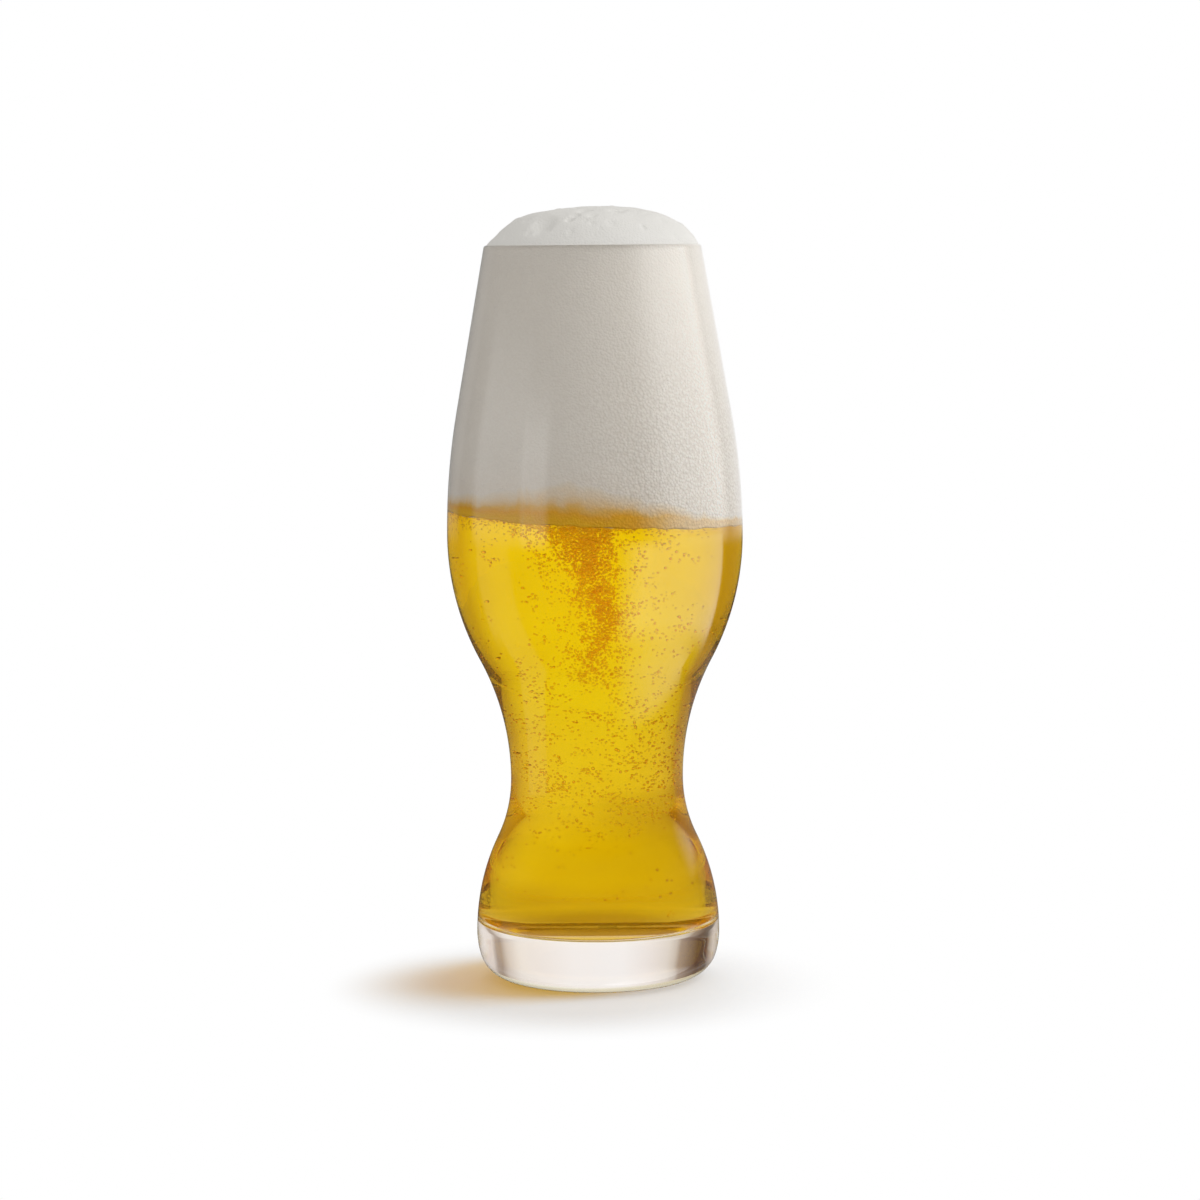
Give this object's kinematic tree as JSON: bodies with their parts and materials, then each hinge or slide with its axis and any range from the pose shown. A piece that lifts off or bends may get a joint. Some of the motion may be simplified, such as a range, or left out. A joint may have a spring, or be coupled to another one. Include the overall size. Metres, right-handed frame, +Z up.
{
  "type": "weizen glass",
  "caption": "Waisted clear wheat-beer glass with a heavy foot and rounded lip, filled with golden beer, rising bubbles and a foam head that stands above the rim.",
  "frame": {"origin": "centre of the ring that the glass stands on, on the table", "axes": "+Z up along the axis of the glass, -Y towards the pictured side, +X to the right in the picture"},
  "size_m": [0.0868, 0.0868, 0.2272],
  "materials": {
    "glass": "polished",
    "beer": "gloss",
    "foam": "matte",
    "bubble": "gloss"
  },
  "bodies": {
    "root": {"glass": "glass", "beer": "beer", "foam_head": "foam", "bubble_plume": "bubble", "rising_bubbles": "bubble", "wall_bubbles": "bubble"}
  },
  "joints": []
}
